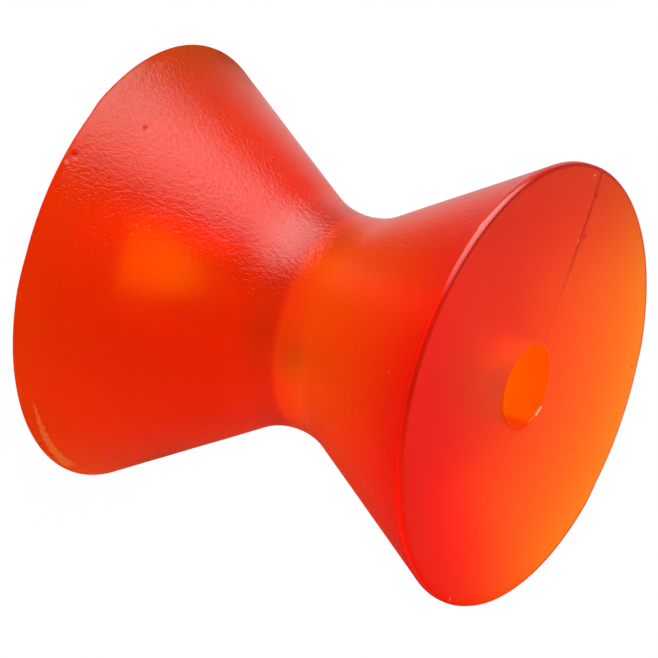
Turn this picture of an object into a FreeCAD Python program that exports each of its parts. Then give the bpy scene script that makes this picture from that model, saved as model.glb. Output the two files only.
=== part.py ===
"""Bow roller of a boat trailer: one casting with a V-shaped waist and a plain bore.

The roller stands on one end face. Z is the bore's axis and the origin is the
middle of the bore, half way up, level with the narrowest place of the waist.
All lengths are in millimetres.
"""

import FreeCAD, Part
import math
import os
from enum import IntEnum

import Sketcher
from FreeCAD import Vector

# Driving dimensions: alias, value, what it measures
SIZES = [
    ("roller_length", 76.0, "from end face to end face"),
    ("end_diameter", 75.0, "across the rim band at each end"),
    ("waist_diameter", 37.0, "across the narrowest place"),
    ("waist_arc_radius", 18.5, "round bottom of the V"),
    ("rim_band_width", 1.4, "straight band at each rim, up to the end face"),
    ("rim_edge_radius", 0.7, "rounded edge between the rim band and the end face"),
    ("bore_diameter", 14.5, "plain hole for the bracket's shaft"),
    ("bore_bevel", 0.5, "bevelled edge of the hole at each end face"),
]


class Axis(IntEnum):
    """A sketch's own two axes, which start at its origin."""

    ACROSS = -1
    UPRIGHT = -2


class Spot(IntEnum):
    """A point of a line, an arc or a circle."""

    START = 1
    END = 2
    CENTRE = 3


def make_sheet(doc):
    """Spreadsheet with one named cell for each driving dimension."""
    sheet = doc.addObject("Spreadsheet::Sheet", "sizes")
    for row, (alias, value, meaning) in enumerate(SIZES, start=1):
        sheet.set(f"A{row}", alias.replace("_", " "))
        sheet.set(f"B{row}", str(value))
        sheet.set(f"C{row}", meaning)
        sheet.setAlias(f"B{row}", alias)
    doc.recompute()
    return sheet


def add_sketch(body, name, role):
    """Empty sketch of the body on its own origin plane of that role."""
    sketch = body.newObject("Sketcher::SketchObject", name)
    plane = next(item for item in body.Origin.OriginFeatures if item.Role == role)
    sketch.AttachmentSupport = [(plane, "")]
    sketch.MapMode = "FlatFace"
    return sketch


def bind(sketch, constraint, name, expression):
    """Add a dimension to the sketch under that name and tie it to the sheet."""
    sketch.addConstraint(constraint)
    sketch.renameConstraint(sketch.ConstraintCount - 1, name)
    sketch.setExpression(f"Constraints.{name}", expression)


def waist_tangent(sheet):
    """Point where the upper flank leaves the waist's arc, as (radius, height)."""
    arc_radius = sheet.waist_arc_radius
    centre_radius = sheet.waist_diameter / 2 + arc_radius
    rim_radius = sheet.end_diameter / 2
    rim_height = sheet.roller_length / 2 - sheet.rim_band_width
    to_rim = math.hypot(rim_radius - centre_radius, rim_height)
    bearing = math.atan2(rim_height, rim_radius - centre_radius)
    angle = bearing + math.acos(arc_radius / to_rim)
    return centre_radius + arc_radius * math.cos(angle), arc_radius * math.sin(angle)


def draw_profile(sketch, sheet):
    """Half section of the roller without its bore: waist arc, two flanks, rim bands, end faces."""
    half = sheet.roller_length / 2
    rim = sheet.end_diameter / 2
    band = half - sheet.rim_band_width
    touch_radius, touch_height = waist_tangent(sheet)
    arc_centre = sheet.waist_diameter / 2 + sheet.waist_arc_radius

    def point(radius, height):
        return Vector(radius, height, 0)

    corners = [
        point(touch_radius, touch_height),
        point(rim, band),
        point(rim, half),
        point(0, half),
        point(0, -half),
        point(rim, -half),
        point(rim, -band),
        point(touch_radius, -touch_height),
    ]
    lines = [
        sketch.addGeometry(Part.LineSegment(first, second), False)
        for first, second in zip(corners, corners[1:])
    ]
    upper_flank, upper_band, top, axis_line, bottom, lower_band, lower_flank = lines
    waist = sketch.addGeometry(
        Part.Arc(corners[0], point(arc_centre - sheet.waist_arc_radius, 0), corners[-1]), False
    )
    for first, second in zip(lines, lines[1:]):
        sketch.addConstraint(Sketcher.Constraint("Coincident", first, Spot.END, second, Spot.START))

    # The arc runs anticlockwise, from the upper flank round the waist to the lower one
    sketch.addConstraint(Sketcher.Constraint("Tangent", upper_flank, Spot.START, waist, Spot.START))
    sketch.addConstraint(Sketcher.Constraint("Tangent", lower_flank, Spot.END, waist, Spot.END))
    for level in (top, bottom):
        sketch.addConstraint(Sketcher.Constraint("Horizontal", level))
    for upright in (upper_band, lower_band):
        sketch.addConstraint(Sketcher.Constraint("Vertical", upright))
    sketch.addConstraint(Sketcher.Constraint("PointOnObject", axis_line, Spot.START, Axis.UPRIGHT))
    sketch.addConstraint(
        Sketcher.Constraint("Symmetric", axis_line, Spot.START, axis_line, Spot.END, Axis.ACROSS, Spot.START)
    )
    sketch.addConstraint(
        Sketcher.Constraint("Symmetric", upper_flank, Spot.END, lower_flank, Spot.START, Axis.ACROSS)
    )
    sketch.addConstraint(Sketcher.Constraint("PointOnObject", waist, Spot.CENTRE, Axis.ACROSS))

    bind(
        sketch,
        Sketcher.Constraint("DistanceY", axis_line, Spot.END, axis_line, Spot.START, sheet.roller_length),
        "length",
        "sizes.roller_length",
    )
    bind(
        sketch,
        Sketcher.Constraint("DistanceX", Axis.ACROSS, Spot.START, upper_flank, Spot.END, rim),
        "rim_radius",
        "sizes.end_diameter / 2",
    )
    bind(
        sketch,
        Sketcher.Constraint("DistanceY", upper_flank, Spot.END, upper_band, Spot.END, sheet.rim_band_width),
        "band",
        "sizes.rim_band_width",
    )
    bind(
        sketch,
        Sketcher.Constraint("Radius", waist, sheet.waist_arc_radius),
        "waist_arc",
        "sizes.waist_arc_radius",
    )
    bind(
        sketch,
        Sketcher.Constraint("DistanceX", Axis.ACROSS, Spot.START, waist, Spot.CENTRE, arc_centre),
        "waist_centre",
        "sizes.waist_diameter / 2 + sizes.waist_arc_radius",
    )


def add_bore(body, sheet):
    """Cut the bore straight through along the axis."""
    sketch = add_sketch(body, "bore_circle", "XY_Plane")
    radius = sheet.bore_diameter / 2
    circle = sketch.addGeometry(Part.Circle(Vector(0, 0, 0), Vector(0, 0, 1), radius), False)
    sketch.addConstraint(Sketcher.Constraint("Coincident", circle, Spot.CENTRE, Axis.ACROSS, Spot.START))
    bind(
        sketch,
        Sketcher.Constraint("Diameter", circle, sheet.bore_diameter),
        "bore",
        "sizes.bore_diameter",
    )
    bore = body.newObject("PartDesign::Pocket", "bore")
    bore.Profile = sketch
    bore.Type = "ThroughAll"
    bore.Midplane = True
    return bore


def rings_at(shape, radius, height):
    """Names of the full circular edges of that radius at that height, above and below."""
    names = []
    for number, edge in enumerate(shape.Edges, start=1):
        curve = edge.Curve
        if not isinstance(curve, Part.Circle):
            continue
        same_radius = math.isclose(curve.Radius, radius, rel_tol=1e-6)
        same_height = math.isclose(abs(curve.Center.z), height, rel_tol=1e-6)
        if same_radius and same_height:
            names.append(f"Edge{number}")
    return names


def round_rims(body, base, sheet):
    """Round the rim of both end faces."""
    fillet = body.newObject("PartDesign::Fillet", "rim_edges")
    fillet.Base = (base, rings_at(base.Shape, sheet.end_diameter / 2, sheet.roller_length / 2))
    fillet.setExpression("Radius", "sizes.rim_edge_radius")
    return fillet


def bevel_bore(body, base, sheet):
    """Bevel the bore's edge at both end faces."""
    chamfer = body.newObject("PartDesign::Chamfer", "bore_edges")
    chamfer.Base = (base, rings_at(base.Shape, sheet.bore_diameter / 2, sheet.roller_length / 2))
    chamfer.setExpression("Size", "sizes.bore_bevel")
    return chamfer


def make_roller(doc, sheet):
    """The roller: revolved section, bore, rounded rims and bevelled hole edges."""
    body = doc.addObject("PartDesign::Body", "roller")
    body.Label = "roller"
    body.Placement = FreeCAD.Placement(Vector(0, 0, 0), FreeCAD.Rotation())
    profile = add_sketch(body, "section", "XZ_Plane")
    draw_profile(profile, sheet)
    doc.recompute()

    casting = body.newObject("PartDesign::Revolution", "casting")
    casting.Profile = profile
    casting.ReferenceAxis = (profile, ["V_Axis"])
    casting.Angle = 360
    doc.recompute()

    bore = add_bore(body, sheet)
    doc.recompute()
    check_bore_is_cut(casting, bore, sheet)

    rims = round_rims(body, bore, sheet)
    doc.recompute()

    body.Tip = bevel_bore(body, rims, sheet)
    doc.recompute()
    return body


def check_bore_is_cut(casting, bore, sheet):
    """Stop if the bore didn't take a full cylinder out of the casting."""
    cylinder = math.pi * (sheet.bore_diameter / 2) ** 2 * sheet.roller_length
    removed = casting.Shape.Volume - bore.Shape.Volume
    if not math.isclose(removed, cylinder, rel_tol=1e-4):
        raise RuntimeError(f"The bore took {removed:.1f} mm3 instead of {cylinder:.1f} mm3")


def check(doc, bodies):
    """Stop if a feature failed, a sketch is loose or a body isn't one valid solid."""
    for item in doc.Objects:
        if "Invalid" in item.State or "Error" in item.State:
            raise RuntimeError(f"{item.Name} failed: {item.State}")
        if item.TypeId == "Sketcher::SketchObject" and not item.FullyConstrained:
            raise RuntimeError(f"{item.Name} isn't fully constrained")
    for body in bodies:
        shape = body.Shape
        if shape.isNull() or not shape.isValid() or len(shape.Solids) != 1:
            raise RuntimeError(f"{body.Label} isn't one valid solid")


def main():
    """Build the document, check it and write one STEP file for each piece."""
    doc = FreeCAD.newDocument("trailer_roller")
    sheet = make_sheet(doc)
    bodies = [make_roller(doc, sheet)]
    check(doc, bodies)
    os.makedirs("parts", exist_ok=True)
    for body in bodies:
        body.Shape.exportStep(os.path.join("parts", body.Label + ".step"))
        box = body.Shape.optimalBoundingBox(False, False)
        litres = body.Shape.Volume / 1e6
        print(f"{body.Label}: {box.XLength:.2f} x {box.YLength:.2f} x {box.ZLength:.2f} mm, {litres:.4f} l")


main()
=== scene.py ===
"""Bow roller of a boat trailer, cast in translucent red-orange polyurethane.

The roller stands on one end face. Z is the bore's axis, the origin is the middle
of the bore, and the mould's parting plane is the XZ plane. Lengths are in metres.
"""

import logging
import math
from dataclasses import dataclass
from enum import Enum

import bmesh
import bpy
from mathutils import Matrix, Vector, noise


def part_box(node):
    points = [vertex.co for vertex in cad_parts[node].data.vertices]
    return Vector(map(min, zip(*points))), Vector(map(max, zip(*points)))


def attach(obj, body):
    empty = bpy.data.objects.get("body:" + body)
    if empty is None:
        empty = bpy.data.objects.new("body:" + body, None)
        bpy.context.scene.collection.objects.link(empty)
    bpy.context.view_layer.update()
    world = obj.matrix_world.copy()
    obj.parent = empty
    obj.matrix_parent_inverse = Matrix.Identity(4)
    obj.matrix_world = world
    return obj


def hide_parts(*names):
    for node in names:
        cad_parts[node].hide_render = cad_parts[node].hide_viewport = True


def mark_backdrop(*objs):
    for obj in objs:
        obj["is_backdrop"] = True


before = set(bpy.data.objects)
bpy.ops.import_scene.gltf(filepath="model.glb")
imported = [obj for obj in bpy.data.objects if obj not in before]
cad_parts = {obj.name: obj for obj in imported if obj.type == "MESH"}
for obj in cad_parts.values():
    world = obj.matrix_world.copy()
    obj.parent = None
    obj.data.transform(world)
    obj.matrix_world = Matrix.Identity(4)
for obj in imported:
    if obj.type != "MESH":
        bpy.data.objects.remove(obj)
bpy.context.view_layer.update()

log = logging.getLogger("trailer_roller")

MM = 0.001
SKIN_ROOM = 0.03 * MM
PHOTO_PIXELS = 658

Colour = tuple[float, float, float]
Steps = tuple[tuple[float, float], ...]
Socket = bpy.types.NodeSocket
Number = bpy.types.NodeSocket | float
Sources = dict[int | str, object]


class Place(Enum):
    """The parts of the skin that the mould leaves its marks on."""

    UPPER_FACE = "upper end face"
    FLANK = "flank or rim above or below the waist"


@dataclass(frozen=True)
class Fade:
    """A number that goes smoothly from low to high as a watched value goes from start to end."""

    start: float
    end: float
    low: float = 0.0
    high: float = 1.0

    def inside(self, edge: float) -> "Fade":
        """The same fade for a value whose distance inside an edge was meant."""
        return Fade(edge - self.start, edge - self.end, self.low, self.high)


@dataclass(frozen=True)
class RimShape:
    """Straight band of one rim, the small step from its cone out to it, and its rounded edge."""

    band: float
    step: float
    edge: float


@dataclass(frozen=True)
class CastingSizes:
    """Main sizes of the casting."""

    half_length: float
    end_radius: float
    waist_radius: float = 18.5 * MM
    waist_arc_radius: float = 18.5 * MM
    upper_rim: RimShape = RimShape(band=1.3 * MM, step=0.03 * MM, edge=0.4 * MM)
    lower_rim: RimShape = RimShape(band=0.3 * MM, step=0.02 * MM, edge=0.15 * MM)
    bore_radius: float = 7.1 * MM
    bore_round: float = 0.15 * MM

    @classmethod
    def from_box(cls, box: tuple[Vector, Vector], skin: float) -> "CastingSizes":
        """Take the outer sizes from the CAD node's box.

        Args:
            box: Lowest and highest corner of the node.
            skin: Room kept inside the box for ridges and flash on the skin.

        Returns:
            The sizes of the casting.
        """
        low, high = box
        return cls(half_length=(high.z - low.z) / 2 - skin, end_radius=(high.x - low.x) / 2 - skin)

    def flank_end(self, rim: RimShape) -> Vector:
        """Where a cone meets the band of its rim, as the radius and the distance from the waist.

        Args:
            rim: The cone's rim.

        Returns:
            The place, in the first two parts of the vector.
        """
        return Vector((self.end_radius - rim.step, self.half_length - rim.band, 0))

    def touch_angle(self, rim: RimShape) -> float:
        """Angle about the waist arc's centre from the narrowest place to where a cone starts.

        Args:
            rim: The cone's rim.

        Returns:
            The angle in radians.
        """
        end = self.flank_end(rim)
        out = end.x - (self.waist_radius + self.waist_arc_radius)
        reach = math.hypot(out, end.y)
        return math.pi - math.atan2(end.y, out) - math.acos(self.waist_arc_radius / reach)

    def flank_radius(self, height: float) -> float:
        """Radius of the skin at a height above or below the waist, outside its arc.

        Args:
            height: The height, below zero for the lower cone.

        Returns:
            The radius.
        """
        rim = self.upper_rim if height > 0 else self.lower_rim
        end = self.flank_end(rim)
        turn = self.touch_angle(rim)
        start_radius = self.waist_radius + self.waist_arc_radius * (1 - math.cos(turn))
        start_height = self.waist_arc_radius * math.sin(turn)
        share = (abs(height) - start_height) / (end.y - start_height)
        if share > 1:
            return self.end_radius
        return start_radius + share * (end.x - start_radius)


@dataclass(frozen=True)
class SkinMark:
    """A small lump or pit that the mould left on the skin, a soft darker patch, or a painted highlight,
    with its own colour if it has one.

    The bearing is in degrees from +X towards +Y, seen from above. Along is the radius on the end
    face and the height elsewhere.
    """

    where: Place
    bearing: float
    along: float
    size: float
    rise: float
    colour: Colour | None
    cover: float

    def centre(self, sizes: CastingSizes) -> Vector:
        """Where the mark sits.

        Args:
            sizes: Sizes of the casting.

        Returns:
            The mark's middle, near the skin.
        """
        turn = math.radians(self.bearing)
        if self.where is Place.UPPER_FACE:
            radius, height = self.along, sizes.half_length
        else:
            radius, height = sizes.flank_radius(self.along), self.along
        return Vector((radius * math.cos(turn), radius * math.sin(turn), height))


@dataclass(frozen=True)
class RimWear:
    """How far the edge of one rim is worn back, in steps by the bearing in degrees."""

    side: int
    steps: Steps
    reach: float = 1.2 * MM

    def shift(self, sizes: CastingSizes, place: Vector) -> Vector:
        """How a point of the skin moves, inwards and away from the end face alike.

        Args:
            sizes: Sizes of the casting.
            place: The point.

        Returns:
            The move, which is nothing away from the rim's edge.
        """
        radius = math.hypot(place.x, place.y)
        away = math.hypot(sizes.end_radius - radius, self.side * sizes.half_length - place.z)
        if away > self.reach:
            return Vector((0, 0, 0))
        bearing = math.degrees(math.atan2(place.y, place.x)) % 360
        depth = self._depth(bearing) * (1 - away / self.reach)
        slope = depth * math.sqrt(0.5)
        return Vector((-place.x / radius * slope, -place.y / radius * slope, -self.side * slope))

    def _depth(self, bearing: float) -> float:
        """Depth at a bearing, in a straight line from each step to the next.

        Args:
            bearing: The bearing in degrees, from 0 to 360.

        Returns:
            The depth, which is nothing outside the steps.
        """
        for (start, low), (end, high) in zip(self.steps, self.steps[1:]):
            if start <= bearing <= end:
                return low + (high - low) * (bearing - start) / (end - start)
        return 0.0


@dataclass(frozen=True)
class RimFlash:
    """Torn flash where the mould's lower edge closed, paler than the casting. Bearings in degrees."""

    start: float = -39.0
    end: float = -3.0
    start_height: float = -35.7 * MM
    end_height: float = -36.5 * MM
    start_width: float = 0.15 * MM
    end_width: float = 0.9 * MM
    torn: float = 0.3 * MM
    grain: float = 0.8 * MM
    colour: Colour = (1.0, 1.0, 0.25)
    cover: float = 0.12

    def rise(self, place: Vector) -> float:
        """How far the flash lifts or sinks a point of the skin.

        Args:
            place: The point.

        Returns:
            The distance along the skin's normal.
        """
        bearing = math.degrees(math.atan2(place.y, place.x))
        share = (bearing - self.start) / (self.end - self.start)
        if not 0 < share < 1:
            return 0.0
        middle = self.start_height + share * (self.end_height - self.start_height)
        width = self.start_width + share * (self.end_width - self.start_width)
        away = abs(place.z - middle) / width
        if away > 1:
            return 0.0
        return self.torn * noise.noise(place / self.grain) * (1 - away)


DARK_RED = (0.75, 0.05, 0.0)
ORANGE = (1.0, 0.4, 0.01)
PALE_PINK_SPECK_AND_HIGHLIGHT = (1.0, 0.6, 0.5)
BROWN = (0.8, 0.22, 0.1)
WHITE_SPECK_AND_GLINT = (1.0, 0.9, 0.85)

# Each row holds a mark's fields after its place, with the lengths in millimetres
FACE_MARKS = (
    (178.7, 32.9, 0.8, -0.3, DARK_RED, 0.4),
    (177.6, 31.6, 0.45, 0.12, None, 0.0),
    (180.0, 25.0, 0.5, 0.2, ORANGE, 0.4),
    (176.5, 26.2, 0.8, 0.0, DARK_RED, 0.2),
    (174.0, 19.1, 0.5, -0.15, ORANGE, 0.3),
    (183.5, 36.0, 0.35, 0.1, PALE_PINK_SPECK_AND_HIGHLIGHT, 0.6),
    (355.0, 33.9, 0.3, -0.1, BROWN, 0.1),
    # Painted highlight: a pale pink spot beside the short cut near the rim
    (358.8, 36.7, 0.4, 0.0, PALE_PINK_SPECK_AND_HIGHLIGHT, 0.3),
    (106.5, 35.4, 0.5, -0.15, DARK_RED, 0.2),
    # A wide, soft, brownish darker patch on the end face beside the bore
    (277.0, 10.4, 4.0, 0.0, BROWN, 0.1),
    # Painted glints: three white spots along the bore's edge
    (62.0, 7.4, 0.45, 0.0, WHITE_SPECK_AND_GLINT, 0.9),
    (67.0, 7.4, 0.45, 0.0, WHITE_SPECK_AND_GLINT, 0.9),
    (72.0, 7.4, 0.4, 0.0, WHITE_SPECK_AND_GLINT, 0.9),
)
FLANK_MARKS = (
    (237.0, 36.7, 0.3, -0.08, DARK_RED, 0.2),
    (236.0, 10.6, 0.25, 0.08, WHITE_SPECK_AND_GLINT, 0.1),
    (245.5, 29.4, 0.25, 0.08, WHITE_SPECK_AND_GLINT, 0.1),
    (252.0, 33.2, 0.25, 0.08, WHITE_SPECK_AND_GLINT, 0.1),
    (280.5, 31.4, 0.3, 0.1, WHITE_SPECK_AND_GLINT, 0.1),
    (234.0, -30.2, 0.5, -0.25, DARK_RED, 0.1),
    (252.0, -36.4, 0.9, -0.15, DARK_RED, 0.25),
    # Painted highlight: a pale pink spot below the chip near the lower rim
    (254.5, -36.9, 0.5, 0.0, PALE_PINK_SPECK_AND_HIGHLIGHT, 0.3),
    (191.0, -31.6, 0.3, -0.12, WHITE_SPECK_AND_GLINT, 0.1),
    (192.0, -30.9, 0.25, -0.12, None, 0.0),
    (339.5, -37.2, 0.6, -0.2, DARK_RED, 0.5),
    (346.0, -37.2, 0.5, -0.2, DARK_RED, 0.5),
    (12.5, -30.5, 1.3, 0.2, None, 0.0),
)
SKIN_MARKS_AND_GLINTS = tuple(
    SkinMark(where, bearing, along * MM, size * MM, rise * MM, colour, cover)
    for where, rows in ((Place.UPPER_FACE, FACE_MARKS), (Place.FLANK, FLANK_MARKS))
    for bearing, along, size, rise, colour, cover in rows
)
UPPER_WEAR = (
    (2, 0.0),
    (10, 0.15 * MM),
    (22, 0.07 * MM),
    (68, 0.0),
    (75, 0.28 * MM),
    (107, 0.15 * MM),
    (112, 0.0),
)
LOWER_WEAR = ((236, 0.0), (240, 0.24 * MM), (280, 0.28 * MM), (290, 0.0))
RIM_WEAR = (RimWear(1, UPPER_WEAR), RimWear(-1, LOWER_WEAR, reach=3 * MM))


@dataclass(frozen=True)
class PartingLine:
    """The line that the two mould halves leave along the XZ plane.

    Rows are the distances from that plane at which the mesh is cut. On the end face the line
    drifts to one side. Its height is uneven, by a mean and a swing about it.
    """

    rows: tuple[float, ...] = (-0.6 * MM, -0.3 * MM, 0.0, 0.3 * MM, 0.6 * MM, 0.9 * MM, 1.2 * MM)
    width: float = 0.5 * MM
    sway: float = 0.15 * MM
    sway_grain: float = 7 * MM
    drift: float = 0.6 * MM
    drift_start: float = -36 * MM
    drift_full: float = -29 * MM
    drift_end: float = -3 * MM
    ridge: float = 0.03 * MM
    groove: float = 0.05 * MM
    groove_growth: float = 1.3
    mean: float = 0.8
    swing: float = 0.6
    swing_grain: float = 3 * MM

    def share(self, place: Vector) -> float:
        """Share of the line's full height or depth at a point of the skin.

        Args:
            place: The point.

        Returns:
            The share, 1 in the middle of the line.
        """
        starts = (place.x - self.drift_start) / (self.drift_full - self.drift_start)
        ends = place.x / self.drift_end
        drift = self.drift * min(1.0, max(0.0, starts)) * min(1.0, max(0.0, ends))
        along = Vector((place.x / self.sway_grain, 0, place.z / self.sway_grain))
        middle = drift + self.sway * noise.noise(along)
        return max(0.0, 1.0 - abs(place.y - middle) / self.width)


@dataclass
class RollerCasting:
    """The one-piece roller: two cones on a rounded waist, with a plain bore."""

    sizes: CastingSizes
    marks: tuple[SkinMark, ...] = ()
    wear: tuple[RimWear, ...] = ()
    flash: RimFlash = RimFlash()
    parting: PartingLine = PartingLine()
    columns: int = 256
    waist_steps: int = 14
    flank_rows: int = 26
    last_row: float = 0.12 * MM
    band_rows: int = 2
    face_rows: int = 22
    bore_rows: int = 30
    round_steps: int = 5
    merge_distance: float = 0.002 * MM
    cut_distance: float = 0.01 * MM
    sway: float = 0.03 * MM
    sway_grain: float = 9 * MM
    sway_inwards: float = 0.5
    mark_cuts: int = 3
    mark_reach: float = 1.3
    mark_margin: float = 0.4 * MM
    room: float = 0.02 * MM

    def section(self) -> bmesh.types.BMesh:
        """Half section of the casting in the XZ plane, as a closed line.

        Returns:
            A mesh of edges only, with X as the radius and Z as the height.
        """
        sizes = self.sizes
        mesh = bmesh.new()
        lower_turn = sizes.touch_angle(sizes.lower_rim)
        upper_turn = sizes.touch_angle(sizes.upper_rim)
        arc_middle = Vector((sizes.waist_radius + sizes.waist_arc_radius, 0, 0))

        first = mesh.verts.new((sizes.waist_radius, 0, 0))
        swing = Matrix.Rotation(-lower_turn, 4, "Y")
        bmesh.ops.rotate(mesh, verts=[first], cent=arc_middle, matrix=swing)
        arc = bmesh.ops.spin(
            mesh,
            geom=[first],
            cent=arc_middle,
            axis=(0, 1, 0),
            angle=lower_turn + upper_turn,
            steps=self.waist_steps,
            use_merge=False,
        )
        last = next(item for item in arc["geom_last"] if isinstance(item, bmesh.types.BMVert))

        upper = self._corners(sizes.upper_rim, 1)
        lower = list(reversed(self._corners(sizes.lower_rim, -1)))
        points = [mesh.verts.new(corner) for corner in (*upper, *lower)]
        runs = [mesh.edges.new(ends) for ends in zip([last, *points], [*points, first])]
        side_rows = (self.flank_rows, 1, 1, self.band_rows, self.face_rows)
        for run, count in zip(runs, (*side_rows, self.bore_rows, *reversed(side_rows))):
            bmesh.ops.subdivide_edges(mesh, edges=[run], cuts=count - 1)
        rounds = (sizes.upper_rim.edge, sizes.bore_round, sizes.bore_round, sizes.lower_rim.edge)
        for corner, radius in zip((*upper[-2:], *lower[:2]), rounds):
            self._round(mesh, corner, radius)
        return mesh

    def _corners(self, rim: RimShape, side: int) -> list[Vector]:
        """Corners of the section at one end, from the cone round to the bore.

        Args:
            rim: Rim at that end.
            side: 1 for the upper end, -1 for the lower one.

        Returns:
            The corners in the XZ plane.
        """
        sizes = self.sizes
        end = sizes.flank_end(rim)
        before = end.y - self.last_row
        places = (
            (sizes.flank_radius(side * before), before),
            (end.x, end.y),
            (sizes.end_radius, end.y + 0.5 * rim.step),
            (sizes.end_radius, sizes.half_length),
            (sizes.bore_radius, sizes.half_length),
        )
        return [Vector((radius, 0, side * height)) for radius, height in places]

    def _round(self, mesh: bmesh.types.BMesh, place: Vector, radius: float) -> None:
        """Round one corner of the section.

        Args:
            mesh: The section.
            place: Where the corner is.
            radius: Radius of the round.
        """
        corner = min(mesh.verts, key=lambda vertex: (vertex.co - place).length)
        bmesh.ops.bevel(
            mesh,
            geom=[corner],
            offset=radius,
            offset_type="OFFSET",
            affect="VERTICES",
            segments=self.round_steps,
            profile=0.5,
            material=-1,
        )

    def spun(self) -> bmesh.types.BMesh:
        """Turn the section once about the bore's axis.

        Returns:
            The closed casting, its faces outwards.
        """
        mesh = self.section()
        bmesh.ops.spin(
            mesh,
            geom=[*mesh.verts, *mesh.edges],
            cent=(0, 0, 0),
            axis=(0, 0, 1),
            angle=math.tau,
            steps=self.columns,
            use_merge=True,
        )
        bmesh.ops.remove_doubles(mesh, verts=mesh.verts, dist=self.merge_distance)
        for offset in self.parting.rows:
            bmesh.ops.bisect_plane(
                mesh,
                geom=[*mesh.verts, *mesh.edges, *mesh.faces],
                dist=self.cut_distance,
                plane_co=(0, offset, 0),
                plane_no=(0, 1, 0),
            )
        for mark in self.marks:
            self._refine(mesh, mark)
        bmesh.ops.recalc_face_normals(mesh, faces=mesh.faces)
        mesh.normal_update()
        return mesh

    def _refine(self, mesh: bmesh.types.BMesh, mark: SkinMark) -> None:
        """Split the faces around a mark.

        Args:
            mesh: The casting.
            mark: The mark that needs finer faces.
        """
        if mark.rise == 0:
            return
        middle = mark.centre(self.sizes)
        reach = self.mark_reach * mark.size + self.mark_margin
        near = [edge for edge in mesh.edges if min((end.co - middle).length for end in edge.verts) < reach]
        bmesh.ops.subdivide_edges(mesh, edges=near, cuts=self.mark_cuts, use_grid_fill=True)

    def _line_height(self, vertex: bmesh.types.BMVert) -> float:
        """How far the parting line lifts or sinks a point of the skin.

        Args:
            vertex: A point of the skin.

        Returns:
            The distance along the skin's normal.
        """
        line = self.parting
        share = line.share(vertex.co)
        if share <= 0:
            return 0.0
        sizes = self.sizes
        radius = math.hypot(vertex.co.x, vertex.co.y)
        uneven = line.mean + line.swing * noise.noise(vertex.co / line.swing_grain)
        on_face = abs(vertex.co.z) > sizes.half_length - 0.5 * sizes.upper_rim.edge
        if on_face and radius > sizes.bore_radius:
            reach = (radius - sizes.bore_radius) / (sizes.end_radius - sizes.bore_radius)
            return -line.groove * share * uneven * min(1.0, line.groove_growth * reach)
        if radius < sizes.bore_radius + sizes.bore_round:
            return 0.0
        return line.ridge * share * uneven

    def _mark_height(self, vertex: bmesh.types.BMVert) -> float:
        """How far the marks lift or sink a point of the skin.

        Args:
            vertex: A point of the skin.

        Returns:
            The distance along the skin's normal.
        """
        height = 0.0
        for mark in self.marks:
            away = (vertex.co - mark.centre(self.sizes)).length / mark.size
            if away < 1:
                height += mark.rise * (1 - away * away) ** 2
        return height

    def shape_skin(self, mesh: bmesh.types.BMesh) -> None:
        """Give the smooth casting its parting line, its marks, its wear and a slight sway.

        Args:
            mesh: The casting.
        """
        sizes = self.sizes
        for vertex in mesh.verts:
            radius = math.hypot(vertex.co.x, vertex.co.y)
            shift = self._line_height(vertex) + self._mark_height(vertex) + self.flash.rise(vertex.co)
            if radius > sizes.bore_radius + sizes.bore_round:
                shift += self.sway * (noise.noise(vertex.co / self.sway_grain) - self.sway_inwards)
            place = vertex.co + vertex.normal * shift
            for rim in self.wear:
                place += rim.shift(sizes, vertex.co)
            vertex.co = self._inside(place)
        mesh.normal_update()

    def _inside(self, place: Vector) -> Vector:
        """Keep a ridge or lump inside the CAD node's box.

        Args:
            place: A point of the skin.

        Returns:
            The nearest point inside the box.
        """
        height = self.sizes.half_length + self.room
        pull = min(1.0, (self.sizes.end_radius + self.room) / math.hypot(place.x, place.y))
        return Vector((place.x * pull, place.y * pull, max(-height, min(height, place.z))))

    def build(self) -> bpy.types.Object:
        """Make the finished piece.

        Returns:
            The casting's object, at the origin.
        """
        mesh = self.spun()
        self.shape_skin(mesh)
        for face in mesh.faces:
            face.smooth = True
        data = bpy.data.meshes.new("roller_casting")
        mesh.to_mesh(data)
        mesh.free()
        piece = bpy.data.objects.new("roller_casting", data)
        bpy.context.scene.collection.objects.link(piece)
        return piece


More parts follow.
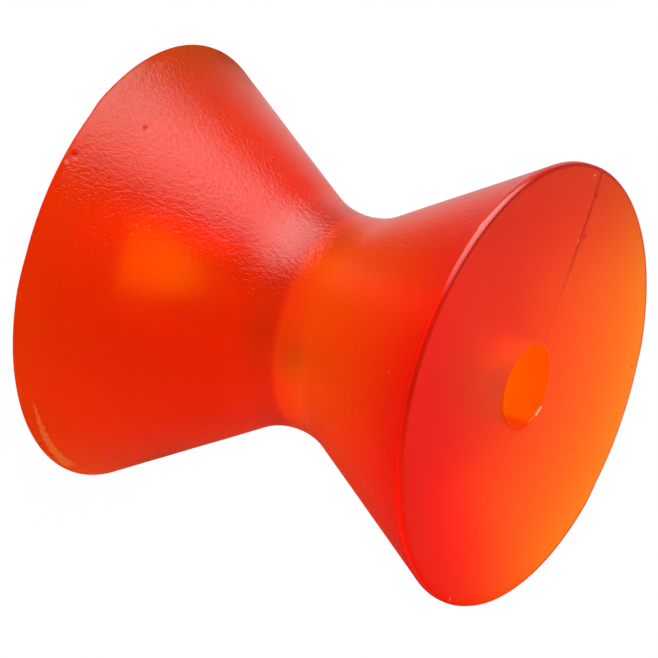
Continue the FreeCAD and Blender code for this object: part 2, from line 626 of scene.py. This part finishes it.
@dataclass(frozen=True)
class ShaderDesk:
    """Adds nodes to one node tree and joins them."""

    tree: bpy.types.NodeTree

    def node(self, kind: str, sources: Sources | None = None, **values: object) -> bpy.types.Node:
        """Add a node.

        Args:
            kind: Node type without its "ShaderNode" start.
            sources: What its inputs get, a value or an output, by the input's name or number.
            values: Properties of the node.

        Returns:
            The new node.
        """
        made = self.tree.nodes.new("ShaderNode" + kind)
        for name, value in values.items():
            setattr(made, name, value)
        for key, source in (sources or {}).items():
            if isinstance(source, Socket):
                self.tree.links.new(source, made.inputs[key])
            else:
                made.inputs[key].default_value = source
        return made

    def math(self, operation: str, first: Number, second: Number = 0.0) -> Socket:
        """Work out a number from one or two others.

        Args:
            operation: The node's operation.
            first: Number or output.
            second: Number or output.

        Returns:
            The output with the result.
        """
        return self.node("Math", {0: first, 1: second}, operation=operation).outputs[0]

    def product(self, first: Number, *others: Number) -> Number:
        """Multiply numbers in turn.

        Args:
            first: Number or output.
            others: More of them.

        Returns:
            The output with the product.
        """
        for other in others:
            first = self.math("MULTIPLY", first, other)
        return first

    def blend(self, share: Socket, low: Number, high: Number) -> Socket:
        """Go from one number to another as a share goes from 0 to 1.

        Args:
            share: Output that gives the share.
            low: Number or output at 0.
            high: Number or output at 1.

        Returns:
            The output with the blended number.
        """
        return self.node("Mix", {0: share, 2: low, 3: high}, data_type="FLOAT").outputs[0]

    def tinted(self, mask: Socket, below: Socket | Colour, colour: Colour) -> Socket:
        """Lay a colour over another where a mask is 1.

        Args:
            mask: Output that is 1 where the colour lies.
            below: Colour or output underneath.
            colour: The colour laid over it.

        Returns:
            The output with the colour.
        """
        under = below if isinstance(below, Socket) else (*below, 1)
        return self.node("Mix", {0: mask, 6: under, 7: (*colour, 1)}, data_type="RGBA").outputs[2]

    def soften(self, value: Socket, fade: Fade) -> Socket:
        """Go smoothly from one number to another as a value passes a stretch.

        Args:
            value: Output that is watched.
            fade: The stretch, and the numbers before and after it.

        Returns:
            The output with the number.
        """
        ends = {"From Min": fade.start, "From Max": fade.end, "To Min": fade.low, "To Max": fade.high}
        stretch = self.node("MapRange", {"Value": value, **ends}, interpolation_type="SMOOTHSTEP")
        return stretch.outputs["Result"]

    def by_ray(self, lit: Number, seen: Number, through: Number, mirrored: Number) -> Socket:
        """Choose a number by the kind of ray.

        Args:
            lit: For the rays that light the object.
            seen: For what the camera sees straight.
            through: For what shows through the casting.
            mirrored: For what its skin mirrors.

        Returns:
            The output with the chosen number.
        """
        ray = self.node("LightPath")
        by_mirror = self.blend(ray.outputs["Is Glossy Ray"], lit, mirrored)
        by_passing = self.blend(ray.outputs["Is Transmission Ray"], by_mirror, through)
        return self.blend(ray.outputs["Is Camera Ray"], by_passing, seen)


@dataclass(frozen=True)
class Spot:
    """Outputs with the X, Y and Z of a place or direction, and the desk that they lie on."""

    desk: ShaderDesk
    x: Socket
    y: Socket
    z: Socket

    @classmethod
    def split(cls, desk: ShaderDesk, vector: Socket) -> "Spot":
        """Take a place or direction apart."""
        return cls(desk, *desk.node("SeparateXYZ", {"Vector": vector}).outputs)

    @classmethod
    def unit(cls, desk: ShaderDesk, vector: Socket) -> "Spot":
        """Take a direction apart after making it one long."""
        made = desk.node("VectorMath", {0: vector}, operation="NORMALIZE")
        return cls.split(desk, made.outputs["Vector"])

    def radius(self) -> Socket:
        """Distance from the bore's axis.

        Returns:
            The output with the distance.
        """
        across = self.desk.math("POWER", self.x, 2.0)
        along = self.desk.math("POWER", self.y, 2.0)
        return self.desk.math("SQRT", self.desk.math("ADD", across, along))


@dataclass(frozen=True)
class PolyurethaneFinish:
    """Clear-tinted cast polyurethane with a soft inside and a glossy, leathery skin.

    The fades say where a tint lies, by the height, the distance from the axis, X, Y, or how far
    sideways a place is, which is X less Y. A cover is the share of light that a tint holds back.
    """

    sizes: CastingSizes
    marks: tuple[SkinMark, ...] = ()
    flash: RimFlash = RimFlash()
    parting: PartingLine = PartingLine()
    name: str = "polyurethane"
    tint: Colour = (1.0, 0.27, 0.0)
    # Painted shade: a deeper red on the +X, -Y side, strongest at the upper end face
    painted_shade_tint: Colour = (1.0, 0.06, 0.0)
    painted_shade_sideways: Fade = Fade(15 * MM, 42 * MM)
    painted_shade_height: Fade = Fade(25 * MM, 37 * MM, 0.25)
    # Painted glow: a more orange tint on the upper cone, from the waist fading out towards the rim
    cone_painted_glow: Colour = (1.0, 0.55, 0.0)
    cone_start: Fade = Fade(-0.5 * MM, 1.5 * MM)
    cone_end: Fade = Fade(14 * MM, 36 * MM, 1.0, 0.0)
    # Painted shade: a darker red just below the waist
    waist_painted_shade: Colour = (0.7, 0.27, 0.0)
    waist_start: Fade = Fade(-8 * MM, -2 * MM)
    bore_tint: Colour = (1.0, 0.48, 0.0)
    bore_edge: Fade = Fade(7.3 * MM, 7.519 * MM, 1.0, 0.0)
    # Painted shade: darker on the +X side of the bore's wall
    bore_painted_shade: Colour = (0.72, 0.12, 0.0)
    bore_painted_shade_start: Fade = Fade(4.6 * MM, 5.8 * MM)
    # Painted shade: a dark red line along the parting groove of the end faces, where the groove's tilted
    # sides miss the reflected light
    groove_painted_shade: Colour = (0.62, 0.04, 0.0)
    groove_cover: float = 0.35
    groove_across: Fade = Fade(0.28 * MM, 0.7 * MM, 1.0, 0.0)
    groove_face: Fade = Fade(1.2 * MM, 0.5 * MM)
    groove_outwards: Fade = Fade(12 * MM, 26 * MM, 0.15)
    groove_side: Fade = Fade(-1 * MM, 1 * MM, 1.0, 0.3)
    # Painted shade: a dark red line on the rounded edge between the upper rim's band and the end face,
    # where it mirrors little light
    rim_painted_shade: Colour = (0.7, 0.02, 0.0)
    rim_cover: float = 0.5
    rim_edge: Fade = Fade(0.75 * MM, 0.525 * MM)
    rim_side: Fade = Fade(2 * MM, 20 * MM, 1.0, 0.2)
    rim_end: Fade = Fade(8 * MM, 28 * MM, 1.0, 0.1)
    flash_across: Fade = Fade(0.6, 1.15, 1.0, 0.0)
    flash_start: Fade = Fade(0.0, 0.12)
    flash_end: Fade = Fade(0.9, 1.0, 1.0, 0.0)
    mark_core: float = 0.4
    mark_edge: float = 1.1
    fray: float = 1.0 * MM
    fray_scale: float = 1200.0
    passing: float = 0.91
    refraction: float = 1.45
    gloss: float = 0.11
    softness: float = 0.42
    bore_softness: float = 0.1
    dye: Colour = (1.0, 0.67, 0.0)
    dye_density: float = 200.0
    wrinkle_scale: float = 1950.0
    wrinkle_stretch: tuple[float, float, float] = (1.0, 1.0, 0.5)
    wrinkle_detail: float = 2.0
    wrinkle_roughness: float = 0.55
    wrinkle_distortion: float = 0.5
    wrinkle_face: Fade = Fade(1.6 * MM, 0.8 * MM, 1.0, 0.06)
    wrinkle_depth: float = 0.05 * MM
    sheen_depth: float = 0.13 * MM

    def _cast_colour(self, at: Spot, in_bore: Socket) -> Socket:
        """Tint of the casting, with painted shade and painted glow laid over it in soft regions.

        Args:
            at: The place on the skin.
            in_bore: Output that is 1 in the bore.

        Returns:
            The output with the colour.
        """
        desk = at.desk
        painted_shade = desk.soften(desk.math("SUBTRACT", at.x, at.y), self.painted_shade_sideways)
        above_waist = desk.soften(at.z, self.cone_start)
        below_cone = desk.math("SUBTRACT", 1.0, above_waist)
        layers = (
            (desk.product(painted_shade, desk.soften(at.z, self.painted_shade_height)), self.painted_shade_tint),
            (desk.product(above_waist, desk.soften(at.z, self.cone_end)), self.cone_painted_glow),
            (desk.product(desk.soften(at.z, self.waist_start), below_cone), self.waist_painted_shade),
            (in_bore, self.bore_tint),
            (desk.product(in_bore, desk.soften(at.x, self.bore_painted_shade_start)), self.bore_painted_shade),
        )
        colour = self.tint
        for mask, tint in layers:
            colour = desk.tinted(mask, colour, tint)
        return colour

    def _frayed(self, desk: ShaderDesk, place: Socket) -> Socket:
        """Shift a place a little and unevenly, which frays the edges of what lies there.

        Args:
            desk: The material's nodes.
            place: Output with the place on the skin.

        Returns:
            The output with the shifted place.
        """
        jitter = desk.node("TexNoise", {"Scale": self.fray_scale, "Vector": place})
        sources = {0: jitter.outputs["Color"], 1: (self.fray,) * 3, 2: place}
        shifted = desk.node("VectorMath", sources, operation="MULTIPLY_ADD")
        sources = {0: shifted.outputs["Vector"], 1: (0.5 * self.fray,) * 3}
        return desk.node("VectorMath", sources, operation="SUBTRACT").outputs["Vector"]

    def _mark_mask(self, desk: ShaderDesk, place: Socket, mark: SkinMark) -> Socket:
        """Output that is 1 on a mark and 0 away from it.

        Args:
            desk: The material's nodes.
            place: Output with the place on the skin.
            mark: The mark.

        Returns:
            The output with the mask.
        """
        away = desk.node("VectorMath", {0: place, 1: mark.centre(self.sizes)}, operation="DISTANCE")
        fade = Fade(self.mark_core * mark.size, self.mark_edge * mark.size, 1.0, 0.0)
        return desk.soften(away.outputs["Value"], fade)

    def _flash_mask(self, at: Spot) -> Socket:
        """Output that is 1 on the torn flash of the lower rim.

        Args:
            at: The place on the skin.

        Returns:
            The output with the mask.
        """
        desk = at.desk
        flash = self.flash
        start = math.radians(flash.start)
        stretch = math.radians(flash.end) - start
        bearing = desk.math("ARCTAN2", at.y, at.x)
        share = desk.math("DIVIDE", desk.math("SUBTRACT", bearing, start), stretch)
        middle = desk.blend(share, flash.start_height, flash.end_height)
        width = desk.blend(share, flash.start_width, flash.end_width)
        away = desk.math("ABSOLUTE", desk.math("SUBTRACT", at.z, middle))
        across = desk.soften(desk.math("DIVIDE", away, width), self.flash_across)
        lengthways = desk.product(desk.soften(share, self.flash_start), desk.soften(share, self.flash_end))
        return desk.product(across, lengthways)

    def _rim_mask(self, at: Spot, radius: Socket) -> Socket:
        """Output that is 1 on the painted shade along the rounded edge between the rim's band and the
        upper end face, strongest towards -X and -Y.

        Args:
            at: The place on the skin.
            radius: Output with the distance from the bore's axis.

        Returns:
            The output with the mask.
        """
        desk = at.desk
        by_radius = desk.soften(radius, self.rim_edge.inside(self.sizes.end_radius))
        by_height = desk.soften(at.z, self.rim_edge.inside(self.sizes.half_length))
        by_place = desk.product(desk.soften(at.y, self.rim_side), desk.soften(at.x, self.rim_end))
        return desk.product(by_place, desk.product(by_radius, by_height))

    def _groove_mask(self, at: Spot, radius: Socket) -> Socket:
        """Output that is 1 along the parting groove of the end faces, where its painted shade lies.

        Args:
            at: The place on the skin.
            radius: Output with the distance from the bore's axis.

        Returns:
            The output with the mask.
        """
        desk = at.desk
        line = self.parting
        starts = desk.soften(at.x, Fade(line.drift_start, line.drift_full, 0.0, line.drift))
        middle = desk.product(starts, desk.soften(at.x, Fade(line.drift_end, 0.0, 1.0, 0.0)))
        away = desk.math("ABSOLUTE", desk.math("SUBTRACT", at.y, middle))
        height = desk.math("ABSOLUTE", at.z)
        on_face = desk.soften(height, self.groove_face.inside(self.sizes.half_length))
        on_line = desk.product(desk.soften(away, self.groove_across), on_face)
        outwards = desk.soften(radius, self.groove_outwards)
        return desk.product(on_line, desk.product(outwards, desk.soften(at.x, self.groove_side)))

    def _skin(self, desk: ShaderDesk, place: Socket) -> tuple[Socket, Socket, Socket]:
        """Tint of the skin, how much of the light passes it, and how rough it is.

        Args:
            desk: The material's nodes.
            place: Output with the place on the skin.

        Returns:
            The outputs with the colour, the share that passes and the roughness.
        """
        at = Spot.split(desk, place)
        radius = at.radius()
        in_bore = desk.soften(radius, self.bore_edge)
        frayed = self._frayed(desk, place)
        frayed_at = Spot.split(desk, frayed)
        layers = [
            (self._groove_mask(frayed_at, radius), self.groove_painted_shade, self.groove_cover),
            (self._rim_mask(at, radius), self.rim_painted_shade, self.rim_cover),
            (self._flash_mask(frayed_at), self.flash.colour, self.flash.cover),
        ]
        # Mark colours: specks, pits and stains, and some painted highlights
        for mark in self.marks:
            if mark.colour is not None:
                layers.append((self._mark_mask(desk, frayed, mark), mark.colour, mark.cover))
        colour = self._cast_colour(at, in_bore)
        passing = self.passing
        for mask, tint, cover in layers:
            colour = desk.tinted(mask, colour, tint)
            passing = desk.blend(mask, passing, 1.0 - cover)
        return colour, passing, desk.blend(in_bore, self.softness, self.bore_softness)

    def _bumps(self, desk: ShaderDesk, place: Socket) -> list[Socket]:
        """Fine leathery wrinkles, longer along the bore and hardly there on the end faces.

        Args:
            desk: The material's nodes.
            place: Output with the place on the skin.

        Returns:
            The outputs with the normal of the skin and that of its coat.
        """
        stretched = desk.node("Mapping", {"Scale": self.wrinkle_stretch, "Vector": place})
        wrinkles = desk.node(
            "TexNoise",
            {
                "Scale": self.wrinkle_scale,
                "Detail": self.wrinkle_detail,
                "Roughness": self.wrinkle_roughness,
                "Distortion": self.wrinkle_distortion,
                "Vector": stretched.outputs["Vector"],
            },
        )
        height = desk.math("ABSOLUTE", Spot.split(desk, place).z)
        strength = desk.soften(height, self.wrinkle_face.inside(self.sizes.half_length))
        normals = []
        for depth in (self.wrinkle_depth, self.sheen_depth):
            sources = {"Strength": strength, "Distance": depth, "Height": wrinkles.outputs["Fac"]}
            normals.append(desk.node("Bump", sources).outputs["Normal"])
        return normals

    def material(self) -> bpy.types.Material:
        """Build the node material.

        Returns:
            The finished material.
        """
        material = bpy.data.materials.new(self.name)
        material.use_nodes = True
        desk = ShaderDesk(material.node_tree)
        desk.tree.nodes.clear()
        place = desk.node("TexCoord").outputs["Object"]
        inner_side = desk.node("NewGeometry").outputs["Backfacing"]
        colour, passing, roughness = self._skin(desk, place)
        normal, coat_normal = self._bumps(desk, place)
        shader = desk.node(
            "BsdfPrincipled",
            {
                "Base Color": colour,
                "Roughness": roughness,
                "IOR": self.refraction,
                "Normal": normal,
                "Specular Tint": (0, 0, 0, 1),
                "Transmission Weight": desk.blend(inner_side, passing, 1.0),
                "Coat Weight": desk.math("SUBTRACT", 1.0, inner_side),
                "Coat Roughness": self.gloss,
                "Coat IOR": self.refraction,
                "Coat Normal": coat_normal,
            },
        )
        inside = desk.node("VolumeAbsorption", {"Color": (*self.dye, 1), "Density": self.dye_density})
        ends = {"Surface": shader.outputs["BSDF"], "Volume": inside.outputs["Volume"]}
        desk.node("OutputMaterial", ends)
        return material


@dataclass(frozen=True)
class StudioGlow:
    """Brightness of the studio around the roller, as its skin mirrors it and as it shows through.

    Steps by bearing give the brightness at degrees from -X towards -Y. Fades go by the Z of a
    direction of length 1. The softbox is an oval that leans: its bearing changes with the height.
    Its steps give the brightness from its middle, 0, past its edge, 1. A direction is one long,
    also that of a place on the floor.
    """

    softbox: Steps = ((0.0, 5.8), (0.4, 5.0), (0.75, 3.4), (1.0, 1.8), (1.12, 0.6), (1.2, 0.0))
    softbox_middle: float = 26.0
    softbox_reach: float = 34.0
    softbox_lean: float = 8.0
    softbox_height: float = 0.58
    close_by: float = 0.5
    warm: Steps = (
        (-180, 1.0),
        (-135, 0.4),
        (-98, 0.9),
        (-89, 0.6),
        (-80, 0.38),
        (-20, 0.4),
        (10, 0.0),
        (135, 0.0),
        (180, 1.0),
    )
    warm_colour: Colour = (1.0, 0.03, 0.0)
    wall: Steps = ((-92, 0.0), (-87, 0.36), (-60, 0.3), (-48, 0.17), (-38, 0.0))
    wall_height: Fade = Fade(-0.1, 0.45, 1.0, 0.4)
    table_edge: Steps = ((-95, 0.0), (-86, 0.36), (-35, 0.4), (-20, 0.15), (-8, 0.0))
    beneath: Fade = Fade(-0.9, -0.84, 1.15, 0.97)
    table_start: Fade = Fade(-0.743, -0.559)
    table: Steps = (
        (-180, 0.85),
        (-135, 0.8),
        (-90, 1.22),
        (-45, 1.6),
        (0, 1.6),
        (45, 1.3),
        (90, 1.1),
        (180, 0.85),
    )
    room_start: Fade = Fade(-0.559, 0.423)
    room: Steps = (
        (-180, 0.8),
        (-150, 1.2),
        (-120, 1.5),
        (-90, 1.0),
        (-60, 0.88),
        (-30, 1.05),
        (0, 1.7),
        (30, 2.15),
        (60, 2.3),
        (90, 2.2),
        (120, 1.8),
        (180, 0.8),
    )

    @staticmethod
    def _ramp(desk: ShaderDesk, share: Socket, stops: Steps) -> Socket:
        """Read a brightness off a line through a few stops.

        Args:
            desk: The nodes to add to.
            share: Output from 0 to 1.
            stops: Shares and the brightness there.

        Returns:
            The output with the brightness.
        """
        ramp = desk.node("ValToRGB", {"Fac": share})
        elements = ramp.color_ramp.elements
        while len(elements) < len(stops):
            elements.new(1.0)
        brightest = max(brightness for _, brightness in stops)
        for element, (position, brightness) in zip(elements, stops):
            level = brightness / brightest
            element.position = position
            element.color = (level, level, level, 1)
        return desk.product(ramp.outputs["Color"], brightest)

    @staticmethod
    def _bearing(towards: Spot) -> Socket:
        """Bearing of a direction, from -X towards -Y.

        Args:
            towards: The direction.

        Returns:
            The output with the bearing in radians.
        """
        desk = towards.desk
        away_x = desk.product(towards.x, -1.0)
        away_y = desk.product(towards.y, -1.0)
        return desk.math("ARCTAN2", away_y, away_x)

    def _by_bearing(self, towards: Spot, steps: Steps) -> Socket:
        """Brightness by bearing.

        Args:
            towards: The direction.
            steps: Bearings in degrees and the brightness there.

        Returns:
            The output with the brightness.
        """
        desk = towards.desk
        share = desk.math("ADD", desk.math("DIVIDE", self._bearing(towards), math.tau), 0.5)
        return self._ramp(desk, share, tuple((degrees / 360 + 0.5, level) for degrees, level in steps))

    def _oval(self, towards: Spot, height: Number) -> Socket:
        """Brightness of the softbox's oval.

        Args:
            towards: The direction.
            height: Height in the oval, from its middle.

        Returns:
            The output with the brightness.
        """
        desk = towards.desk
        lean = desk.product(height, math.radians(self.softbox_lean))
        turned = desk.math("ADD", self._bearing(towards), lean)
        across = desk.math("SUBTRACT", turned, math.radians(self.softbox_middle))
        across_share = desk.math("DIVIDE", across, math.radians(self.softbox_reach))
        up_share = desk.math("DIVIDE", height, self.softbox_height)
        across_square = desk.product(across_share, across_share)
        up_square = desk.product(up_share, up_share)
        away = desk.math("SQRT", desk.math("ADD", across_square, up_square))
        furthest = self.softbox[-1][0]
        steps = tuple((place / furthest, level) for place, level in self.softbox)
        return self._ramp(desk, desk.math("DIVIDE", away, furthest), steps)

    def beside_roller(self, towards: Spot) -> Socket:
        """Brightness of the softbox in the skin."""
        return self._oval(towards, towards.z)

    def under_rim(self, towards: Spot) -> Socket:
        """Brightness of the table right beside the lower rim, as the rim's band mirrors it."""
        return towards.desk.product(self._oval(towards, 0.0), self.close_by)

    def behind(self, towards: Spot) -> Socket:
        """Brightness of the wall behind in the skin."""
        by_height = towards.desk.soften(towards.z, self.wall_height)
        return towards.desk.product(self._by_bearing(towards, self.wall), by_height)

    def far_table(self, towards: Spot) -> Socket:
        """Brightness of the table behind the roller in the skin."""
        return self._by_bearing(towards, self.table_edge)

    def warmed(self, plain: Socket, kind: str, towards: Spot) -> Socket:
        """Add the red light that has come through the roller, as its skin mirrors it.

        Args:
            plain: Output of the shader without it.
            kind: Type of the node that gives it.
            towards: The direction.

        Returns:
            The output of the shader with it.
        """
        desk = towards.desk
        strength = desk.by_ray(0.0, 0.0, 0.0, self._by_bearing(towards, self.warm))
        warmth = desk.node(kind, {"Color": (*self.warm_colour, 1), "Strength": strength})
        return desk.node("AddShader", {0: plain, 1: warmth.outputs[0]}).outputs["Shader"]

    def through(self, towards: Spot) -> Socket:
        """Brightness that shows through the casting.

        Args:
            towards: The direction.

        Returns:
            The output with the brightness.
        """
        desk = towards.desk
        table = self._by_bearing(towards, self.table)
        room = self._by_bearing(towards, self.room)
        open_table = desk.blend(desk.soften(towards.z, self.room_start), table, room)
        beneath = desk.soften(towards.z, self.beneath)
        return desk.blend(desk.soften(towards.z, self.table_start), beneath, open_table)


@dataclass(frozen=True)
class StudioFloor:
    """Plain white table that the roller stands on. Its fades go by the distance from the origin."""

    level: float
    glow: StudioGlow
    gap: float = 0.25 * MM
    half_size: float = 3.0
    white: float = 0.9
    shown: float = 0.94
    brightness: float = 1.03
    rim_strip: Fade = Fade(46 * MM, 50 * MM, 1.0, 0.0)
    softbox_start: Fade = Fade(65 * MM, 100 * MM)
    behind_start: Fade = Fade(42 * MM, 56 * MM)
    behind_end: Fade = Fade(70 * MM, 280 * MM, 1.0, 0.35)

    def build(self) -> bpy.types.Object:
        """Make the floor.

        Returns:
            The floor's object, marked as stage.
        """
        mesh = bmesh.new()
        bmesh.ops.create_grid(mesh, x_segments=1, y_segments=1, size=self.half_size)
        bmesh.ops.translate(mesh, verts=mesh.verts, vec=(0, 0, self.level - self.gap))
        data = bpy.data.meshes.new("studio_floor")
        mesh.to_mesh(data)
        mesh.free()
        floor = bpy.data.objects.new("studio_floor", data)
        bpy.context.scene.collection.objects.link(floor)
        data.materials.append(self.material())
        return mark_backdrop(floor)

    def _mirrored(self, place: Socket, towards: Spot) -> Socket:
        """Brightness of the floor as the roller's skin mirrors it.

        Args:
            place: Output with the place on the floor.
            towards: The direction of that place.

        Returns:
            The output with the brightness.
        """
        desk = towards.desk
        away = desk.node("VectorMath", {0: place}, operation="LENGTH").outputs["Value"]
        softbox = desk.product(self.glow.beside_roller(towards), desk.soften(away, self.softbox_start))
        beyond = desk.product(desk.soften(away, self.behind_start), desk.soften(away, self.behind_end))
        behind = desk.product(self.glow.far_table(towards), beyond)
        under_rim = desk.product(self.glow.under_rim(towards), desk.soften(away, self.rim_strip))
        return desk.math("ADD", under_rim, desk.math("ADD", softbox, behind))

    def material(self) -> bpy.types.Material:
        """White paint that shows as plain white and keeps a faint shadow.

        Returns:
            The floor's material.
        """
        material = bpy.data.materials.new("studio_floor")
        material.use_nodes = True
        desk = ShaderDesk(material.node_tree)
        desk.tree.nodes.clear()
        place = desk.node("TexCoord").outputs["Object"]
        towards = Spot.unit(desk, place)
        mirrored = self._mirrored(place, towards)
        strength = desk.by_ray(1.0, self.brightness, self.glow.through(towards), mirrored)
        share = desk.by_ray(0.0, self.shown, self.shown, self.shown)
        paint = desk.node("BsdfDiffuse", {"Color": (self.white, self.white, self.white, 1)})
        shine = desk.node("Emission", {"Strength": strength})
        sources = {0: share, 1: paint.outputs["BSDF"], 2: shine.outputs["Emission"]}
        plain = desk.node("MixShader", sources).outputs["Shader"]
        desk.node("OutputMaterial", {"Surface": self.glow.warmed(plain, "Emission", towards)})
        return material


@dataclass(frozen=True)
class StudioAir:
    """The studio's plain pale surroundings."""

    glow: StudioGlow
    fill: float = 0.75
    backdrop: float = 1.0

    def build(self) -> None:
        """Set the scene's world: backdrop for what is seen, glow for the rest, and fill for light."""
        world = bpy.data.worlds.new("studio_air")
        world.use_nodes = True
        bpy.context.scene.world = world
        desk = ShaderDesk(world.node_tree)
        desk.tree.nodes.clear()
        towards = Spot.unit(desk, desk.node("TexCoord").outputs["Generated"])
        mirrored = desk.math("ADD", self.glow.beside_roller(towards), self.glow.behind(towards))
        strength = desk.by_ray(self.fill, self.backdrop, self.glow.through(towards), mirrored)
        plain = desk.node("Background", {"Strength": strength}).outputs["Background"]
        desk.node("OutputWorld", {"Surface": self.glow.warmed(plain, "Background", towards)})


@dataclass(frozen=True)
class SoftBox:
    """One rectangular studio light that faces the roller."""

    name: str
    towards: tuple[float, float, float]
    distance: float
    width: float
    height: float
    radiance: float

    def build(self) -> bpy.types.Object:
        """Hang the light.

        Returns:
            The light's object.
        """
        lamp = bpy.data.lights.new(self.name, "AREA")
        lamp.shape = "RECTANGLE"
        lamp.size = self.width
        lamp.size_y = self.height
        lamp.energy = self.radiance * math.pi * self.width * self.height
        box = bpy.data.objects.new(self.name, lamp)
        box.visible_glossy = False
        place = Vector(self.towards).normalized() * self.distance
        box.location = place
        box.rotation_euler = place.to_track_quat("Z", "Y").to_euler()
        bpy.context.scene.collection.objects.link(box)
        return box


@dataclass(frozen=True)
class PhotoCamera:
    """Camera at the photograph's viewing angle. Angles are in degrees, the centre in pixels."""

    azimuth: float = 2.5
    elevation: float = 29.05
    roll: float = 108.2
    distance: float = 1.0534
    focal_pixels: float = 6384.0
    centre_x: float = 332.66
    centre_y: float = 322.39
    sensor_width: float = 36.0
    nearest: float = 0.01

    def build(self) -> bpy.types.Object:
        """Make the camera and give it to the scene.

        Returns:
            The camera's object.
        """
        lens = bpy.data.cameras.new("photo_camera")
        lens.sensor_width = self.sensor_width
        lens.lens = self.focal_pixels / PHOTO_PIXELS * lens.sensor_width
        lens.shift_x = (PHOTO_PIXELS / 2 - self.centre_x) / PHOTO_PIXELS
        lens.shift_y = (self.centre_y - PHOTO_PIXELS / 2) / PHOTO_PIXELS
        lens.clip_start = self.nearest
        azimuth = math.radians(self.azimuth)
        elevation = math.radians(self.elevation)
        towards = Vector(
            (
                math.sin(azimuth) * math.cos(elevation),
                -math.cos(azimuth) * math.cos(elevation),
                math.sin(elevation),
            )
        )
        camera = bpy.data.objects.new("photo_camera", lens)
        level = towards.to_track_quat("Z", "Y").to_matrix().to_4x4()
        turn = Matrix.Rotation(math.radians(self.roll), 4, "Z")
        camera.matrix_world = Matrix.Translation(towards * self.distance) @ level @ turn
        bpy.context.scene.collection.objects.link(camera)
        bpy.context.scene.camera = camera
        return camera


def main() -> None:
    """Build the camera, the studio and the roller."""
    logging.basicConfig(level=logging.INFO, format="%(name)s: %(message)s")
    PhotoCamera().build()
    glow = StudioGlow()
    StudioAir(glow).build()
    StudioFloor(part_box("roller")[0].z, glow).build()
    SoftBox(
        name="side_softbox",
        towards=(-0.95, -0.25, 0.2),
        distance=1.2,
        width=1.3,
        height=0.8,
        radiance=1.0,
    ).build()

    sizes = CastingSizes.from_box(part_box("roller"), skin=SKIN_ROOM)
    casting = RollerCasting(sizes, SKIN_MARKS_AND_GLINTS, RIM_WEAR).build()
    casting.data.materials.append(PolyurethaneFinish(sizes, SKIN_MARKS_AND_GLINTS).material())
    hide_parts("roller")
    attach(casting, "root")
    log.info("%s: %d faces", casting.name, len(casting.data.polygons))

    bpy.context.scene.view_settings.view_transform = "Standard"


if __name__ == "__main__":
    main()
